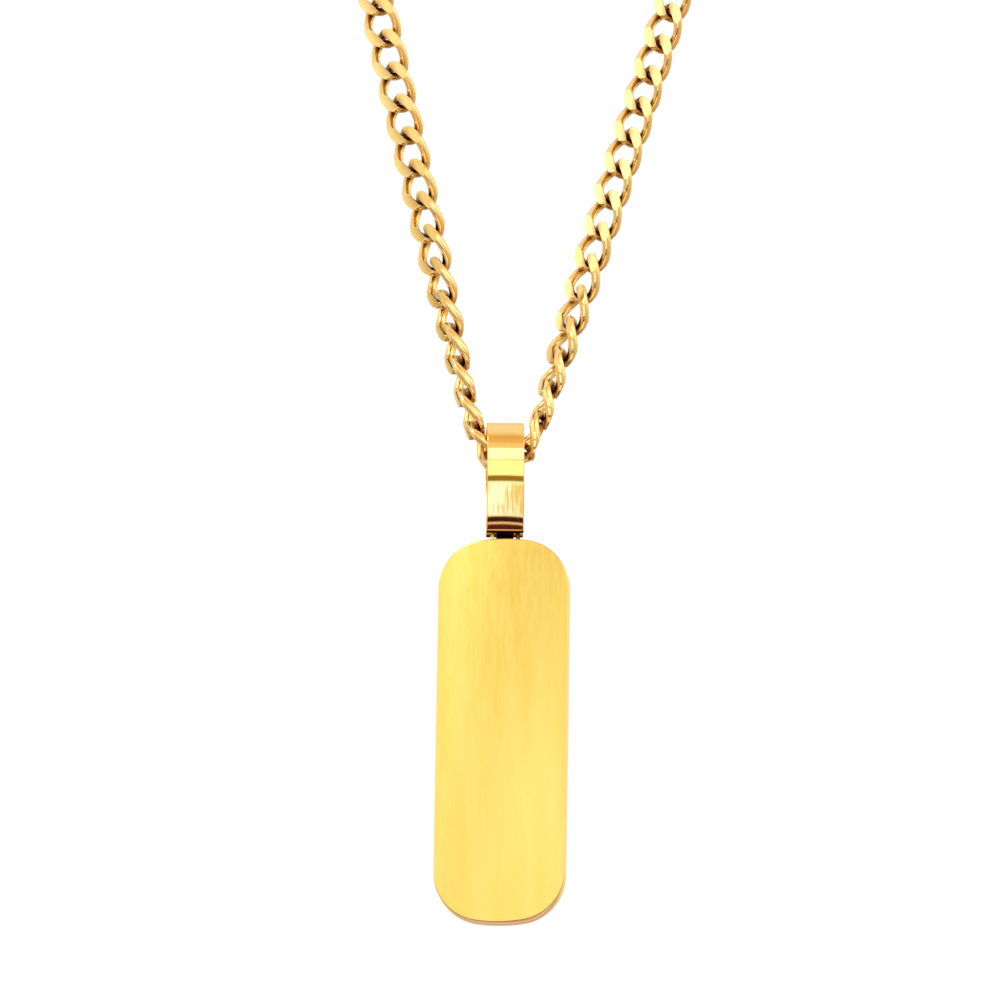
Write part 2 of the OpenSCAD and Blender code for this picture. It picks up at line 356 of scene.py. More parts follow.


# %% Make the three finishes
# Each finish's darkest colour is the painted shade where its mesh marks shade
polished = gold(
    "polished gold",
    colour=(1.0, 0.69, 0.26),
    deeper=(0.99, 0.65, 0.225),
    painted_shade=(0.02, 0.004, 0.003),
    rough=(0.02, 0.05),
    scratch_scale=(2400, 2400, 90),
    scratch_depth=0.0004,
)
brushed = gold(
    "brushed gold",
    colour=(0.86, 0.70, 0.21),
    deeper=(0.84, 0.65, 0.16),
    painted_shade=(0.2, 0.1, 0.02),
    rough=(0.30, 0.42),
    scratch_scale=(4200, 4200, 420),
    scratch_depth=0.004,
)
chain_gold = gold(
    "chain gold",
    colour=(1.0, 0.77, 0.37),
    deeper=(1.0, 0.69, 0.29),
    painted_shade=(0.22, 0.075, 0.015),
    rough=(0.05, 0.12),
    scratch_scale=(900, 900, 900),
    scratch_depth=0.001,
)
print("finishes:", polished.name, brushed.name, chain_gold.name)


# %% Paint the reflection streaks onto the ribbon's finish
def paint_reflection_streaks(material, limits):
    """Put the painted reflection streaks into a finish, just before its painted shade; limits are in
    mm.
    """
    nodes, links = material.node_tree.nodes, material.node_tree.links
    painted_shade = next(node for node in nodes if node.type == "GROUP" and node.node_tree == painted_shade_group)
    plain = painted_shade.inputs["Colour"].links[0].from_socket
    streaks = nodes.new("ShaderNodeGroup")
    streaks.node_tree = reflection_streak_group
    for name, value in limits.items():
        streaks.inputs[name].default_value = value * MM
    links.new(plain, streaks.inputs["Colour"])
    links.new(streaks.outputs["Colour"], painted_shade.inputs["Colour"])


# Where the painted reflection streaks lie on the bail, in mm
reflection_streak_limits = {
    "Lowest": bail_axis_z - 6.4,
    "Highest": bail_axis_z - 3.2,
    "Leftmost": bail_x - 1.3,
    "Rightmost": bail_x + 1.8,
}
paint_reflection_streaks(polished, reflection_streak_limits)
print("rubbed, in mm:", {name: round(value, 1) for name, value in reflection_streak_limits.items()})

# %% [markdown]
# Rounded edges and painted shade
#
# No edge of a worn piece is quite sharp. A Bevel modifier rounds each edge that turns by more than
# 40 degrees, and its result is made a plain mesh. The other helper marks the points that lie deep
# in the shade, by their height, where the colour is painted dark as shade.

# %% Make the finishing helpers
ROUND_OVER = 40


def bevelled(piece, width, segments):
    """The piece with its sharp edges rounded, as a plain mesh again."""
    bevel = piece.modifiers.new("round the edges", "BEVEL")
    bevel.width = width * MM
    bevel.segments = segments
    bevel.limit_method = "ANGLE"
    bevel.angle_limit = math.radians(ROUND_OVER)
    graph = bpy.context.evaluated_depsgraph_get()
    mesh = bpy.data.meshes.new_from_object(piece.evaluated_get(graph))
    piece.modifiers.clear()
    piece.data = mesh
    mesh.polygons.foreach_set("use_smooth", [True] * len(mesh.polygons))
    mesh.set_sharp_from_angle(angle=math.radians(SMOOTH_UNDER))
    return piece


def mark_by_height(piece, clear_above, dark_below, kept=None):
    """Painted shade that grows downwards between two heights in mm; points that kept accepts stay
    unshaded.
    """
    layer = piece.data.attributes.new("painted_shade", "FLOAT", "POINT")
    for i, point in enumerate(piece.data.vertices):
        x, z = point.co.x / MM, point.co.z / MM
        depth = min(1, max(0, (clear_above - z) / (clear_above - dark_below)))
        layer.data[i].value = 0 if kept and kept(x, z) else depth


print("edges over", ROUND_OVER, "degrees are rounded, and the rest is shaded smooth")

# %% [markdown]
# The bar
#
# The bar was stamped from sheet: two gently domed ends, four round corners, straight sides. Its
# outline is six arcs, extruded to the sheet's thickness. It hangs a little turned and a little
# leaned, so its points are turned and leaned and not its object, which stays at the origin.

# %% Draw the bar's outline
CORNER_STEPS, END_STEPS = 24, 8


def bar_outline():
    corner_x = BAR_WIDTH / 2 - BAR_CORNER_RADIUS
    end_z = BAR_HEIGHT / 2 - BAR_END_RADIUS
    opening = math.degrees(math.acos(corner_x / (BAR_END_RADIUS - BAR_CORNER_RADIUS)))
    corner_z = end_z + (BAR_END_RADIUS - BAR_CORNER_RADIUS) * math.sin(math.radians(opening))
    quarter = arc((corner_x, corner_z), BAR_CORNER_RADIUS, 0, opening, CORNER_STEPS)
    half_end = arc((0, end_z), BAR_END_RADIUS, opening, 90, END_STEPS)
    right_top = quarter + half_end
    left_top = [(-x, z) for x, z in reversed(right_top)]
    bottom = [(-x, -z) for x, z in right_top + left_top]
    return without_repeats(right_top + left_top + bottom)


print("bar's outline:", len(bar_outline()), "points")


# %% Turn and lean the bar
def turned(x, y):
    cosine, sine = math.cos(BAR_TURN), math.sin(BAR_TURN)
    return x * cosine - y * sine, x * sine + y * cosine


def leaned(x, y, z):
    """A point of the bar or its staple, from the top of the bar; both lean about the crown."""
    crown = 2 * FOOT_GAP + BAIL_THICKNESS + STAPLE_WIRE / 2
    up = z - crown
    across = x * math.cos(BAR_LEAN) + up * math.sin(BAR_LEAN)
    up = up * math.cos(BAR_LEAN) - x * math.sin(BAR_LEAN)
    return bail_x + STAPLE_SHIFT + across, y, bar_top_z + crown + up


def place_in_bar(x, y, z):
    tx, ty = turned(x, y)
    return leaned(tx, ty, z - BAR_HEIGHT / 2)


print("the bar's middle is at", [round(v, 2) for v in place_in_bar(0, 0, 0)])

# %% Model the bar
BAR_ROUNDING, BAR_ROUNDING_STEPS = 0.1, 3


def plate(outline, thickness, place):
    """Points and faces of an extruded outline; place turns x, y, z into the final place."""
    count = len(outline)
    points = [place(x, y, z) for y in (-thickness / 2, thickness / 2) for x, z in outline]
    faces = [list(range(count)), list(range(2 * count - 1, count - 1, -1))]
    faces += [(i, i + count, (i + 1) % count + count, (i + 1) % count) for i in range(count)]
    return points, faces


bar_solid = make_piece("plate", *plate(bar_outline(), BAR_THICKNESS, place_in_bar))
bar_plate = bevelled(bar_solid, BAR_ROUNDING, BAR_ROUNDING_STEPS)
print("plate:", len(bar_plate.data.polygons), "faces")

# %% [markdown]
# The staple
#
# The bar hangs by a small arch of square wire that is soldered on its top edge. Its legs run down
# into the bar, where the solder would be. It lies in the bail's shade, and only its left leg
# catches some light, so the rest of it gets painted shade.

# %% Model the staple
STAPLE_SUNK, STAPLE_LIT_BEYOND = 0.8, 0.8
STAPLE_ROUNDING, STAPLE_ROUNDING_STEPS = 0.06, 2
SHOULDER_STEPS = 8


def staple_arch(half_width, height, shoulder):
    right = arc((half_width - shoulder, height - shoulder), shoulder, 0, 90, SHOULDER_STEPS)
    left = [(-x, z) for x, z in reversed(right)]
    return right + left


def model_staple():
    """The square wire arch, from an outer and an inner course of points."""
    sunk = -STAPLE_SUNK
    crown = 2 * FOOT_GAP + BAIL_THICKNESS + STAPLE_WIRE
    outer = [(STAPLE_WIDTH / 2, sunk)] + staple_arch(STAPLE_WIDTH / 2, crown, STAPLE_SHOULDER)
    outer += [(-STAPLE_WIDTH / 2, sunk)]
    half_inner = STAPLE_WIDTH / 2 - STAPLE_WIRE
    inner = [(half_inner, sunk)]
    inner += staple_arch(half_inner, crown - STAPLE_WIRE, STAPLE_SHOULDER - STAPLE_WIRE)
    inner += [(-half_inner, sunk)]
    outline = outer + inner[::-1]
    count, half = len(outline), len(outer)
    points = [leaned(x, y, z) for y in (-STAPLE_WIRE / 2, STAPLE_WIRE / 2) for x, z in outline]
    faces = []
    for i in range(half - 1):
        a, b, c, d = i, i + 1, count - 2 - i, count - 1 - i
        faces += [(a, b, c, d), (d + count, c + count, b + count, a + count)]
    faces += [(i, i + count, (i + 1) % count + count, (i + 1) % count) for i in range(count)]
    return make_piece("staple", points, faces)


staple = bevelled(model_staple(), STAPLE_ROUNDING, STAPLE_ROUNDING_STEPS)
# Painted shade over the whole staple, except its lit left leg
above_staple = bar_top_z + 2
lit_left_of = bail_x - STAPLE_LIT_BEYOND
mark_by_height(staple, above_staple + 1, above_staple, kept=lambda x, z: x < lit_left_of)
print("staple:", len(staple.data.polygons), "faces")


# %% Join the bar and its staple
def joined(name, pieces):
    """One object from several, which are used up."""
    build = bmesh.new()
    for piece in pieces:
        build.from_mesh(piece.data)
        bpy.data.objects.remove(piece)
    mesh = bpy.data.meshes.new(name)
    build.to_mesh(mesh)
    build.free()
    mesh.set_sharp_from_angle(angle=math.radians(SMOOTH_UNDER))
    whole = bpy.data.objects.new(name, mesh)
    bpy.context.collection.objects.link(whole)
    return whole


bar_piece = joined("gold_bar", [bar_plate, staple])
print("bar:", len(bar_piece.data.polygons), "faces")

# %% [markdown]
# A brushed face and a polished edge
#
# On such a bar the two faces are brushed lengthwise, and the edge is polished, with a bright line
# where they meet. One mesh can hold two materials, and each face of it says which one it wears.

# %% Give the bar its two finishes
NEARLY_FORWARD = 0.99
SMALLEST_BRUSHED_FACE = 1e-7


def finish_bar(piece):
    """Faces that look forwards or backwards are brushed, and everything else is polished."""
    piece.data.materials.append(brushed)
    piece.data.materials.append(polished)
    forward = Vector((*turned(0, -1), 0))
    for face in piece.data.polygons:
        flat = abs(face.normal.dot(forward)) > NEARLY_FORWARD and face.area > SMALLEST_BRUSHED_FACE
        face.material_index = 0 if flat else 1


finish_bar(bar_piece)
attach(bar_piece, "bar")
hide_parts("bar")
print("brushed faces:", sum(face.material_index == 0 for face in bar_piece.data.polygons))

# %% [markdown]
# The bail
#
# The bail is a strip of polished ribbon, bent round at the top for the chain and tighter at the
# foot for the staple. Its middle line is made of arcs, and a rounded strip section is carried
# along it. Round the foot the strip is narrower, so that it fits between the staple's legs.

# %% Lay out the ribbon's course
TOP_STEPS, SIDE_STEPS, HIGH_FOOT_STEPS, NARROWING_STEPS, LOW_FOOT_STEPS = 40, 60, 13, 4, 20
NARROWING, NARROW_FROM = 1.5, 1


def bail_course():
    """Points along the ribbon's middle in the YZ plane, their normals, and where it is narrow."""
    top, foot = BAIL_TOP_RADIUS + BAIL_THICKNESS / 2, BAIL_FOOT_RADIUS + BAIL_THICKNESS / 2
    side = BAIL_SIDE_RADIUS - BAIL_THICKNESS / 2
    from_top, from_foot = side - top, side - foot
    cz = (from_foot**2 - from_top**2 - BAIL_REACH**2) / (2 * BAIL_REACH)
    cy = math.sqrt(from_top**2 - cz**2)
    upper = math.degrees(math.atan2(-cz, -cy)) % 360
    lower = math.degrees(math.atan2(-BAIL_REACH - cz, -cy)) % 360
    notch = 270 - math.degrees(BAIL_FOOT_ANGLE)
    runs = [
        ((0, 0), top, 90, upper, TOP_STEPS),
        ((cy, cz), side, upper, lower, SIDE_STEPS),
        ((0, -BAIL_REACH), foot, lower, notch - NARROWING, HIGH_FOOT_STEPS),
        ((0, -BAIL_REACH), foot, notch - NARROWING, notch + NARROWING, NARROWING_STEPS),
        ((0, -BAIL_REACH), foot, notch + NARROWING, 270, LOW_FOOT_STEPS),
    ]
    front = []
    for centre, radius, start, end, steps in runs:
        for i in range(steps):
            degrees = start + (end - start) * i / steps
            normal = (math.cos(math.radians(degrees)), math.sin(math.radians(degrees)))
            narrow = 1.0 if radius == foot and degrees > notch - NARROW_FROM else 0.0
            y, z = centre[0] + radius * normal[0], centre[1] + radius * normal[1]
            front.append((y, z, normal, narrow))
    low = (0, -BAIL_REACH - foot, (0, -1), 1.0)
    back = [(-y, z, (-n[0], n[1]), narrow) for y, z, n, narrow in reversed(front[1:])]
    return front + [low] + back


print("ribbon's course:", len(bail_course()), "points")

# %% Carry the strip along the course
STRIP_ROUNDING, STRIP_ROUNDING_STEPS = 0.07, 4
# The pit round the bail's foot gets painted shade between these heights above the bar, in mm
PIT_SHADE_BEGINS, PIT_SHADE_FULL = 0.95, 0.7


def strip_section(half_width, half_thickness, rounding, steps):
    """A rounded rectangle, as points across the ribbon and through its thickness."""
    points = []
    for sx, sy, start in ((1, 1, 0), (-1, 1, 90), (-1, -1, 180), (1, -1, 270)):
        centre = (sx * (half_width - rounding), sy * (half_thickness - rounding))
        points += arc(centre, rounding, start, start + 90, steps)
    return points


def model_bail():
    """The ribbon as a closed tube of strip sections."""
    course = bail_course()
    points, faces = [], []
    for y, z, normal, narrow in course:
        half_width = (BAIL_WIDTH + (BAIL_FOOT_WIDTH - BAIL_WIDTH) * narrow) / 2
        section = strip_section(half_width, BAIL_THICKNESS / 2, STRIP_ROUNDING, STRIP_ROUNDING_STEPS)
        for across, through in section:
            out, up = normal[0] * through, normal[1] * through
            points.append((bail_x + across, y + out, bail_axis_z + z + up))
    ring = len(section)
    for i in range(len(course)):
        j = (i + 1) % len(course)
        for k in range(ring):
            m = (k + 1) % ring
            faces.append((i * ring + k, i * ring + m, j * ring + m, j * ring + k))
    return make_piece("ribbon_bail", points, faces)


bail_piece = model_bail()
# Painted shade in the pit round the bail's foot, darker towards the bar
mark_by_height(bail_piece, bar_top_z + PIT_SHADE_BEGINS, bar_top_z + PIT_SHADE_FULL)
bail_piece.data.materials.append(polished)
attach(bail_piece, "bail")
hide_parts("bail")
print("bail:", len(bail_piece.data.polygons), "faces")

# %% [markdown]
# One curb link
#
# A curb link is an oval of wire whose two ends are twisted against each other, so that a row of
# them lies flat. The front and back of the finished chain are then cut flat, which leaves bright
# leaf-shaped facets. The link is modelled whole first, and two plane cuts make the facets. It is
# drawn in millimetres, and the chain's tree brings it to size.

# %% Name the link's sizes
LINK_PITCH, LINK_LENGTH, LINK_WIDTH = 3.2, 4.22, 2.68
SIDE_WIRE, SIDE_DEPTH = 0.76, 0.92
END_WIRE, END_DEPTH = 0.78, 0.88
LEAF_SWELL, CUT_THICKNESS = 0.1, 1.4
LINK_TWIST = math.radians(52)
END_POWER, SIDE_POWER = 0.92, 0.72
LINK_SECTIONS, WIRE_SIDES = 24, 10
print("middle of the wire:", LINK_LENGTH, "by", LINK_WIDTH, "mm, a link every", LINK_PITCH, "mm")

# %% Shape the link's wire
SMALL_ANGLE = 0.01


def eased(value, power):
    """A value from -1 to 1 raised to a power, with its sign kept."""
    return math.copysign(abs(value) ** power, value)


def wire_middle(angle):
    """A point on the middle of the wire; the two ends are twisted against each other."""
    across = LINK_WIDTH / 2 * eased(math.sin(angle), SIDE_POWER)
    twist = -LINK_TWIST * math.cos(angle)
    along = LINK_LENGTH / 2 * eased(math.cos(angle), END_POWER)
    return Vector((along, across * math.cos(twist), across * math.sin(twist)))


def wire_section(angle):
    """Points round the wire: deeper than wide along the sides, and wide where the leaves are."""
    middle = wire_middle(angle)
    before, after = wire_middle(angle - SMALL_ANGLE), wire_middle(angle + SMALL_ANGLE)
    along = (after - before).normalized()
    outward = along.cross(Vector((0, 0, 1))).normalized()
    deep = outward.cross(along)
    near_end = 1 - math.sin(angle) ** 4
    half_wire = (SIDE_WIRE + (END_WIRE - SIDE_WIRE) * near_end) / 2
    half_wire += LEAF_SWELL * math.sin(2 * angle) ** 2
    half_depth = (SIDE_DEPTH + (END_DEPTH - SIDE_DEPTH) * near_end) / 2
    turns = [2 * math.pi * i / WIRE_SIDES for i in range(WIRE_SIDES)]
    return [middle + outward * math.cos(a) * half_wire + deep * math.sin(a) * half_depth for a in turns]


print("the wire's middle at one end:", [round(v, 2) for v in wire_middle(0)])


# %% Build the link and cut it flat
def model_link():
    build = bmesh.new()
    rings = [
        [build.verts.new(p) for p in wire_section(2 * math.pi * (i + 0.5) / LINK_SECTIONS)]
        for i in range(LINK_SECTIONS)
    ]
    for ring, after in zip(rings, rings[1:] + rings[:1]):
        for i in range(WIRE_SIDES):
            j = (i + 1) % WIRE_SIDES
            build.faces.new((ring[i], ring[j], after[j], after[i]))
    for face in build.faces:
        face.smooth = True
    for side in (-1, 1):
        cut = bmesh.ops.bisect_plane(
            build,
            geom=build.verts[:] + build.edges[:] + build.faces[:],
            plane_co=(0, 0, side * CUT_THICKNESS / 2),
            plane_no=(0, 0, side),
            clear_outer=True,
        )
        rim = [e for e in cut["geom_cut"] if isinstance(e, bmesh.types.BMEdge)]
        caps = bmesh.ops.holes_fill(build, edges=rim)["faces"]
        for face in caps:
            face.smooth = False
            for edge in face.edges:
                edge.smooth = False
    bmesh.ops.recalc_face_normals(build, faces=build.faces)
    mesh = bpy.data.meshes.new("curb link")
    build.to_mesh(mesh)
    build.free()
    return bpy.data.objects.new("curb link", mesh)


link = model_link()
print("link:", len(link.data.polygons), "faces")

# %% Mark where the links shade each other
RECESS_NEAR, RECESS_FAR = 0.28, 0.6


def mark_painted_link_shade(piece, near, far):
    """Points within the near distance of a neighbouring link, in mm, get full painted shade; past far,
    none.
    """
    mesh = piece.data
    shape = BVHTree.FromPolygons([v.co for v in mesh.vertices], [f.vertices for f in mesh.polygons])
    layer = mesh.attributes.new("painted_shade", "FLOAT", "POINT")
    for i, point in enumerate(mesh.vertices):
        shifted = [point.co + Vector((side * LINK_PITCH, 0, 0)) for side in (-1, 1)]
        gap = min(shape.find_nearest(p)[3] for p in shifted)
        layer.data[i].value = min(1, max(0, (far - gap) / (far - near)))


mark_painted_link_shade(link, RECESS_NEAR, RECESS_FAR)
shade = [value.value for value in link.data.attributes["painted_shade"].data]
print("link's points in the shade:", sum(value > 0.5 for value in shade), "of", len(shade))

# %% [markdown]
# The chain's course
#
# The chain hangs as one loop of 155 links. Each half starts at the lowest joint, inside the bail,
# rises in a straight strand, and turns in an even arc to the clasp. Going down to the bail, the
# strands turn from flat to edge-on. The course is one point for each link, which holds the
# directions that the link's length and its flat face look in. Near the bail the right strand lies
# up to a millimetre further forward, so that the links that turn there stay clear of each other.

# %% Name the course's sizes
LEFT_HEADINGS, RIGHT_HEADINGS = (60.4, 72.4), (11.75, 67.9)
STRAND_RISE, STRAND_LINKS, ARC_LINKS, ARC_LEAN = 75.35, 51, 24, 0.5
LOOP_LEAN = math.radians(2.3)
LEFT_TURN, RIGHT_TURN, LATE_TURN, BAIL_ROLL = 6.7, 5.5, 22.0, 4.0
LEFT_SHIFT, RIGHT_SHIFTS, SHIFT_FADE = 0.08, (-0.51, -0.99), 12
low_joint = Vector((bail_x - 1.27, 0, bail_axis_z - 0.48))
lean = Matrix.Rotation(LOOP_LEAN, 3, "Y")
print("lowest joint:", [round(v, 2) for v in low_joint])


# %% Lay out the links
def headings(side):
    """Angles above the horizontal, from the lowest joint outwards; side is 1 for the right."""
    first = RIGHT_HEADINGS if side > 0 else LEFT_HEADINGS
    straight = STRAND_LINKS + (1 if side > 0 else 0)
    turn = (180 + side * ARC_LEAN - STRAND_RISE) / ARC_LINKS
    angles = [*first] + [STRAND_RISE] * straight
    angles += [STRAND_RISE + (i + 0.5) * turn for i in range(ARC_LINKS)]
    return [math.radians(a) for a in angles]


def roll_from_edge(k, side, count):
    """How far link k is turned from edge-on, in degrees."""
    nearly_flat = 90 - LATE_TURN * (1 - k / count)
    eased_in = k / (RIGHT_TURN if side > 0 else LEFT_TURN)
    return BAIL_ROLL + (nearly_flat - BAIL_ROLL) * (1 - math.exp(-eased_in * eased_in))


def front_shift(k, side):
    """How far back link k lies, in mm; a negative value is further forward."""
    if side < 0:
        return LEFT_SHIFT * max(0, 1 - k / SHIFT_FADE)
    if k == 0:
        return RIGHT_SHIFTS[0]
    return RIGHT_SHIFTS[1] * max(0, 1 - (k - 1) / SHIFT_FADE)


def link_places(side):
    """For each link: where it sits, and the directions of its length and of its face."""
    angles = headings(side)
    places, joint = [], Vector((0, 0, 0))
    for k, h in enumerate(angles):
        roll = math.radians(90 + side * roll_from_edge(k, side, len(angles)))
        along = Vector((side * math.cos(h), 0, math.sin(h)))
        middle = joint + along * LINK_PITCH / 2 + Vector((0, front_shift(k, side), 0))
        joint = joint + along * LINK_PITCH
        upward = -math.cos(h) * math.sin(roll)
        face = Vector((math.sin(h) * side * math.sin(roll), -math.cos(roll), upward))
        places.append((low_joint + lean @ middle, lean @ (along * side), lean @ face))
    return places


def course_mesh(name, side):
    """A mesh of bare points, one for each link, that carry the link's two directions."""
    places = link_places(side)
    mesh = bpy.data.meshes.new(name)
    mesh.from_pydata([tuple(p * MM) for p, _, _ in places], [], [])
    for attribute, index in (("along", 1), ("face", 2)):
        layer = mesh.attributes.new(attribute, "FLOAT_VECTOR", "POINT")
        layer.data.foreach_set("vector", [v for row in places for v in row[index]])
    course = bpy.data.objects.new(name, mesh)
    bpy.context.collection.objects.link(course)
    return course


print("links:", len(headings(-1)), "left,", len(headings(1)), "right")

# %% [markdown]
# Geometry Nodes for the chain
#
# A small tree puts a copy of the link on every point of the course and turns it to the two stored
# directions. Each copy also rolls by a degree or so, because no two links of a real chain lie quite
# alike, and that is what makes their cut faces flash one by one. The copies are then realized,
# because the finished chain has to be a plain mesh.

# %% Build the chain tree
MOST_ROLL = math.radians(1.2)
ROLL_SEED = 0


def build_chain_tree():
    tree = bpy.data.node_groups.new("set links on a course", "GeometryNodeTree")
    face = tree.interface
    face.new_socket("Course", in_out="INPUT", socket_type="NodeSocketGeometry")
    face.new_socket("Link", in_out="INPUT", socket_type="NodeSocketObject")
    face.new_socket("Link size", in_out="INPUT", socket_type="NodeSocketFloat").default_value = MM
    most_roll = face.new_socket("Most roll", in_out="INPUT", socket_type="NodeSocketFloat")
    most_roll.default_value = MOST_ROLL
    face.new_socket("Metal", in_out="INPUT", socket_type="NodeSocketMaterial")
    face.new_socket("Chain", in_out="OUTPUT", socket_type="NodeSocketGeometry")
    nodes, links = tree.nodes, tree.links
    given, result = nodes.new("NodeGroupInput"), nodes.new("NodeGroupOutput")
    shape = nodes.new("GeometryNodeObjectInfo")
    scatter = nodes.new("GeometryNodeInstanceOnPoints")
    turn = nodes.new("FunctionNodeAxesToRotation")
    turn.primary_axis, turn.secondary_axis = "X", "Z"
    for attribute, socket in (("along", "Primary Axis"), ("face", "Secondary Axis")):
        stored = nodes.new("GeometryNodeInputNamedAttribute")
        stored.data_type = "FLOAT_VECTOR"
        stored.inputs["Name"].default_value = attribute
        links.new(stored.outputs["Attribute"], turn.inputs[socket])
    chance = nodes.new("FunctionNodeRandomValue")
    chance.data_type = "FLOAT_VECTOR"
    chance.inputs["Min"].default_value = (-1, 0, 0)
    chance.inputs["Max"].default_value = (1, 0, 0)
    chance.inputs["Seed"].default_value = ROLL_SEED
    limited = nodes.new("ShaderNodeVectorMath")
    limited.operation = "SCALE"
    roll = nodes.new("FunctionNodeEulerToRotation")
    rolled = nodes.new("FunctionNodeRotateRotation")
    rolled.rotation_space = "LOCAL"
    links.new(chance.outputs["Value"], limited.inputs["Vector"])
    links.new(given.outputs["Most roll"], limited.inputs["Scale"])
    links.new(limited.outputs["Vector"], roll.inputs["Euler"])
    links.new(turn.outputs["Rotation"], rolled.inputs["Rotation"])
    links.new(roll.outputs["Rotation"], rolled.inputs["Rotate By"])
    realize = nodes.new("GeometryNodeRealizeInstances")
    paint = nodes.new("GeometryNodeSetMaterial")
    links.new(given.outputs["Course"], scatter.inputs["Points"])
    links.new(given.outputs["Link"], shape.inputs["Object"])
    links.new(shape.outputs["Geometry"], scatter.inputs["Instance"])
    links.new(rolled.outputs["Rotation"], scatter.inputs["Rotation"])
    links.new(given.outputs["Link size"], scatter.inputs["Scale"])
    links.new(scatter.outputs["Instances"], realize.inputs["Geometry"])
    links.new(realize.outputs["Geometry"], paint.inputs["Geometry"])
    links.new(given.outputs["Metal"], paint.inputs["Material"])
    links.new(paint.outputs["Geometry"], result.inputs["Chain"])
    return tree


chain_tree = build_chain_tree()
print("tree:", chain_tree.name, "with", len(chain_tree.nodes), "nodes")


# %% Grow the two sides of the chain
def grow_chain(name, side, tree):
    """One side of the chain as a plain mesh, with the tree's inputs set by their identifiers."""
    course = course_mesh(name, side)
    modifier = course.modifiers.new("links", "NODES")
    modifier.node_group = tree
    sockets = {s.name: s.identifier for s in tree.interface.items_tree if s.in_out == "INPUT"}
    modifier[sockets["Link"]] = link
    modifier[sockets["Link size"]] = MM
    modifier[sockets["Metal"]] = chain_gold
    graph = bpy.context.evaluated_depsgraph_get()
    mesh = bpy.data.meshes.new_from_object(course.evaluated_get(graph))
    course.modifiers.clear()
    course.data = mesh
    return course


for side, name, node in ((-1, "links_left", "chain_left"), (1, "links_right", "chain_right")):
    strand = grow_chain(name, side, chain_tree)
    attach(strand, "necklace")
    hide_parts(node)
    print(name, len(strand.data.polygons), "faces,", len(strand.data.vertices), "points")
bpy.data.objects.remove(link)

# %% [markdown]
# The clasp
#
# The back of the necklace doesn't show in the reference, so its clasp is the plainest one: a
# barrel with a ring at each end. The solid already has that shape, and only needs its finish.

# %% Finish the clasp
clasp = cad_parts["clasp"]
clasp.data.materials.clear()
clasp.data.materials.append(polished)
print("clasp:", len(clasp.data.polygons), "faces, in", polished.name)

# %% [markdown]
# Light and background
#
# Polished metal shows what stands around it, so the world is painted for it, as a photographer
# sets cards round a jewel. Three kinds of sector each have their own ramp from the ground to the
# ceiling: the front makes the bands across the bail, the sides make the flats of the chain, and
# the back lights the edges of the bar. The camera itself sees plain white instead.

# %% Name the room's colours
# Each stop is a height, from -1 at the ground to 1 overhead, and the colour that is seen there
FRONT_STOPS = (
    (-1.00, (0.01, 0.006, 0.005)),
    (-0.830, (0.02, 0.008, 0.005)),
    (-0.800, (1.9, 1.20, 0.80)),
    (-0.610, (1.9, 1.20, 0.80)),
    (-0.602, (0.09, 0.02, 0.01)),
    (-0.548, (0.09, 0.02, 0.01)),
    (-0.543, (0.90, 0.72, 0.80)),
    (-0.531, (0.90, 0.72, 0.80)),
    (-0.524, (0.06, 0.01, 0.005)),
    (-0.486, (0.06, 0.01, 0.005)),
    (-0.477, (0.98, 1.25, 1.45)),
    (-0.180, (1.00, 1.38, 1.60)),
    (-0.170, (0.33, 0.24, 0.03)),
    (-0.126, (0.33, 0.24, 0.03)),
    (-0.120, (1.5, 1.5, 1.25)),
    (0.010, (1.5, 1.5, 1.25)),
    (0.018, (1.2, 1.2, 1.2)),
    (0.030, (1.2, 1.2, 1.2)),
    (0.040, (2.0, 1.8, 2.0)),
    (0.155, (2.0, 1.8, 2.0)),
    (0.175, (0.99, 0.86, 0.60)),
    (0.40, (0.99, 0.86, 0.60)),
    (0.50, (0.88, 0.67, 0.36)),
    (0.80, (0.82, 0.55, 0.24)),
    (1.00, (0.83, 0.57, 0.26)),
)
SIDE_STOPS = (
    (-1.00, (0.55, 0.42, 0.26)),
    (-0.45, (0.66, 0.52, 0.34)),
    (-0.20, (0.80, 0.66, 0.42)),
    (0.00, (0.84, 0.70, 0.44)),
    (0.07, (0.97, 0.90, 0.66)),
    (0.14, (1.15, 1.10, 0.90)),
    (0.34, (1.35, 1.30, 1.15)),
    (0.50, (1.7, 1.65, 1.5)),
    (0.62, (1.2, 1.0, 0.8)),
    (0.76, (0.88, 0.67, 0.36)),
    (1.00, (0.83, 0.57, 0.26)),
)
BACK_STOPS = (
    (-1.00, (0.30, 0.20, 0.12)),
    (-0.50, (0.45, 0.36, 0.30)),
    (-0.25, (0.80, 0.66, 0.72)),
    (-0.12, (0.55, 0.42, 0.30)),
    (0.00, (0.75, 0.65, 0.45)),
    (0.25, (0.98, 0.90, 0.53)),
    (0.69, (0.92, 0.78, 0.62)),
    (1.00, (0.83, 0.57, 0.26)),
)
# A sector begins at the first angle from the front and is full at the second
LEFT_SECTOR, RIGHT_SECTOR, BACK_SECTOR = (-22, -30), (14, 24), (95, 115)
print("stops in front, beside and behind:", len(FRONT_STOPS), len(SIDE_STOPS), len(BACK_STOPS))


# %% Make the world's helpers
def ramp_by_height(nodes, links, height, stops):
    """A colour ramp of the given stops; the stop that a new ramp ends with is taken away."""
    ramp = nodes.new("ShaderNodeValToRGB")
    links.new(height, ramp.inputs["Fac"])
    elements = ramp.color_ramp.elements
    for i, (level, colour) in enumerate(stops):
        place_on_ramp = (level + 1) / 2
        stop = elements[i] if i < 1 else elements.new(place_on_ramp)
        stop.position = place_on_ramp
        stop.color = (*colour, 1)
    elements.remove(elements[-1])
    return ramp.outputs["Color"]


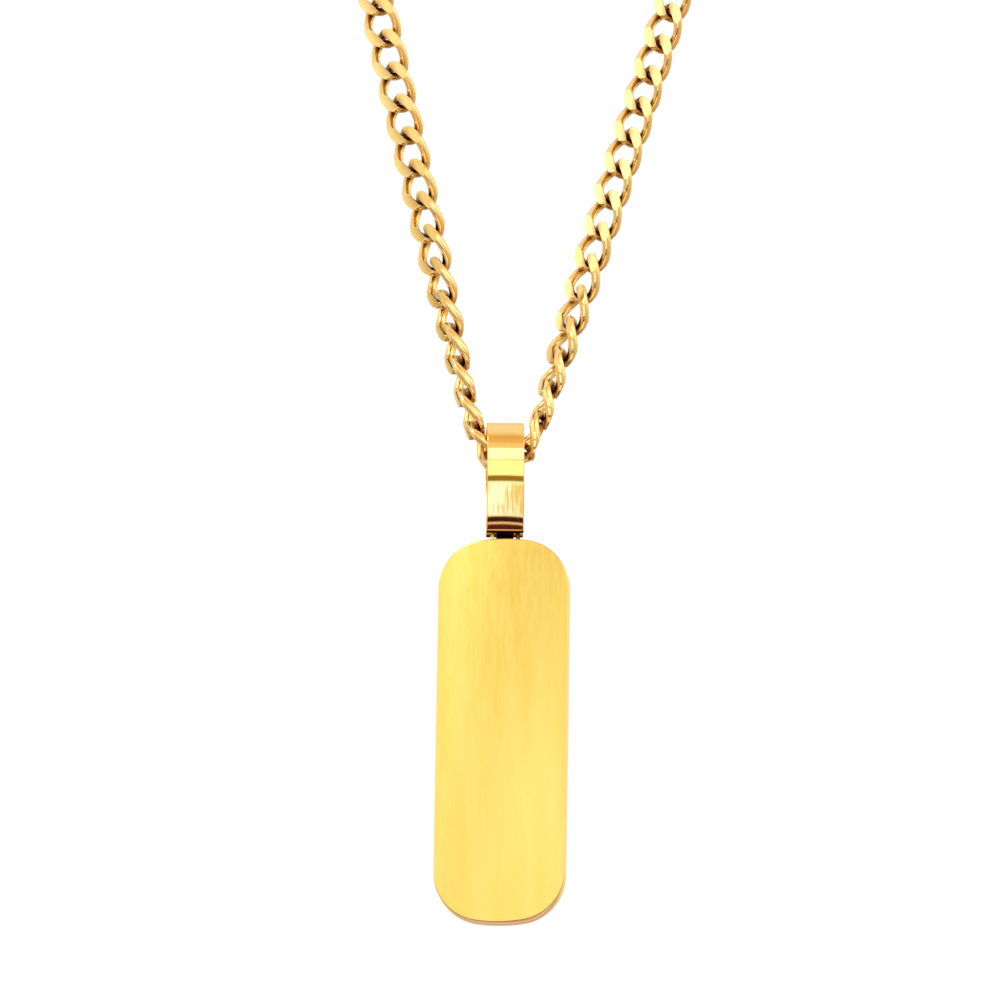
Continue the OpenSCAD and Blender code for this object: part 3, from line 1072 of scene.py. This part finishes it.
def sector_mask(nodes, links, angle, sector):
    """0 before the sector's first angle, 1 past its second, and soft between them."""
    mask = nodes.new("ShaderNodeMapRange")
    mask.interpolation_type = "SMOOTHSTEP"
    mask.inputs["From Min"].default_value = math.radians(sector[0])
    mask.inputs["From Max"].default_value = math.radians(sector[1])
    links.new(angle, mask.inputs["Value"])
    return mask.outputs["Result"]


def mixed(nodes, links, mask, first, second):
    mix = nodes.new("ShaderNodeMix")
    mix.data_type = "RGBA"
    links.new(mask, mix.inputs["Factor"])
    links.new(first, mix.inputs["A"])
    links.new(second, mix.inputs["B"])
    return mix.outputs["Result"]


print("a sector fades over", abs(RIGHT_SECTOR[1] - RIGHT_SECTOR[0]), "degrees at the right")


# %% Paint the world
def paint_world():
    world = bpy.data.worlds.new("studio")
    bpy.context.scene.world = world
    world.use_nodes = True
    nodes, links = world.node_tree.nodes, world.node_tree.links
    nodes.clear()
    place = nodes.new("ShaderNodeTexCoord")
    split = nodes.new("ShaderNodeSeparateXYZ")
    links.new(place.outputs["Generated"], split.inputs["Vector"])
    height = nodes.new("ShaderNodeMapRange")
    height.inputs["From Min"].default_value = -1.0
    links.new(split.outputs["Z"], height.inputs["Value"])
    towards = nodes.new("ShaderNodeMath")
    towards.operation = "MULTIPLY"
    towards.inputs[1].default_value = -1.0
    links.new(split.outputs["Y"], towards.inputs[0])
    angle = nodes.new("ShaderNodeMath")
    angle.operation = "ARCTAN2"
    links.new(split.outputs["X"], angle.inputs[0])
    links.new(towards.outputs["Value"], angle.inputs[1])
    either_way = nodes.new("ShaderNodeMath")
    either_way.operation = "ABSOLUTE"
    links.new(angle.outputs["Value"], either_way.inputs[0])
    colour, side, back = (
        ramp_by_height(nodes, links, height.outputs["Result"], stops)
        for stops in (FRONT_STOPS, SIDE_STOPS, BACK_STOPS)
    )
    sectors = ((angle, LEFT_SECTOR, side), (angle, RIGHT_SECTOR, side), (either_way, BACK_SECTOR, back))
    for turn, sector, card in sectors:
        mask = sector_mask(nodes, links, turn.outputs["Value"], sector)
        colour = mixed(nodes, links, mask, colour, card)
    room = nodes.new("ShaderNodeBackground")
    links.new(colour, room.inputs["Color"])
    white = nodes.new("ShaderNodeBackground")
    white.inputs["Color"].default_value = (1, 1, 1, 1)
    rays = nodes.new("ShaderNodeLightPath")
    choose = nodes.new("ShaderNodeMixShader")
    links.new(rays.outputs["Is Camera Ray"], choose.inputs["Fac"])
    links.new(room.outputs["Background"], choose.inputs[1])
    links.new(white.outputs["Background"], choose.inputs[2])
    out = nodes.new("ShaderNodeOutputWorld")
    links.new(choose.outputs["Shader"], out.inputs["Surface"])


paint_world()
print("world:", bpy.context.scene.world.name)

# %% [markdown]
# Floor and light
#
# The floor is plain and pale and lies far below. The metal doesn't reflect it, so the room's
# colours alone make the bands. One soft square light hangs high at the left and gives the brushed
# face its slow change from pale to deep. The Standard view keeps the colours as they are painted.

# %% Lay the floor
FLOOR_HEIGHT, FLOOR_HALF_SIZE = -1300, 6000


def lay_floor(height, half):
    corners = [(-half, -half), (half, -half), (half, half), (-half, half)]
    points = [(x, y, height) for x, y in corners]
    floor = make_piece("floor", points, [(0, 1, 2, 3)], mend_normals=False)
    pale = bpy.data.materials.new("pale floor")
    pale.use_nodes = True
    surface = pale.node_tree.nodes["Principled BSDF"]
    surface.inputs["Base Color"].default_value = (0.86, 0.86, 0.85, 1)
    surface.inputs["Roughness"].default_value = 0.8
    floor.data.materials.append(pale)
    floor.visible_glossy = False


lay_floor(FLOOR_HEIGHT, FLOOR_HALF_SIZE)
print("floor at z", FLOOR_HEIGHT, "mm")


# %% Hang the light
def hang_light(name, place, aim, size, power):
    """A square light at a place in metres; the camera doesn't see it."""
    lamp = bpy.data.lights.new(name, "AREA")
    lamp.shape = "SQUARE"
    lamp.size = size
    lamp.energy = power
    holder = bpy.data.objects.new(name, lamp)
    holder.location = place
    holder.rotation_euler = (Vector(aim) - Vector(place)).to_track_quat("-Z", "Y").to_euler()
    holder.visible_camera = False
    bpy.context.collection.objects.link(holder)


hang_light("key light", place=(-0.8, -1.2, 1.2), aim=(0, 0, -0.2), size=0.5, power=6)
bpy.context.scene.view_settings.view_transform = "Standard"
print("lights:", len(bpy.data.lights))

# %% [markdown]
# The camera
#
# The reference was taken from about a metre away and from below, because the bar's bottom wall
# shows. Its right wall shows too, because the bar is turned a little. The camera looks at a point
# near the top of the bar and stays upright: the lean is the necklace's own.

# %% Place the camera
CAMERA_DISTANCE = 1000.0
CAMERA_AZIMUTH, CAMERA_ELEVATION = math.radians(-2.0), math.radians(-14.6)
FRAME_WIDTH = 92.0
SENSOR = 36.0
AIM_RIGHT_OF_BAIL, AIM_ABOVE_BAR = -0.44, 3.9
CLIP_NEAR, CLIP_FAR = 0.05, 20


def place_camera():
    back = Vector((
        math.sin(CAMERA_AZIMUTH) * math.cos(CAMERA_ELEVATION),
        -math.cos(CAMERA_AZIMUTH) * math.cos(CAMERA_ELEVATION),
        math.sin(CAMERA_ELEVATION),
    ))
    aim = Vector((bail_x + AIM_RIGHT_OF_BAIL, 0, bar_top_z + AIM_ABOVE_BAR))
    data = bpy.data.cameras.new("camera")
    data.sensor_width = SENSOR
    data.lens = SENSOR * CAMERA_DISTANCE / FRAME_WIDTH
    data.clip_start, data.clip_end = CLIP_NEAR, CLIP_FAR
    camera = bpy.data.objects.new("camera", data)
    camera.location = (aim + back * CAMERA_DISTANCE) * MM
    camera.rotation_euler = (-back).to_track_quat("-Z", "Y").to_euler()
    bpy.context.collection.objects.link(camera)
    bpy.context.scene.camera = camera


place_camera()
print("lens:", round(bpy.context.scene.camera.data.lens, 1), "mm")
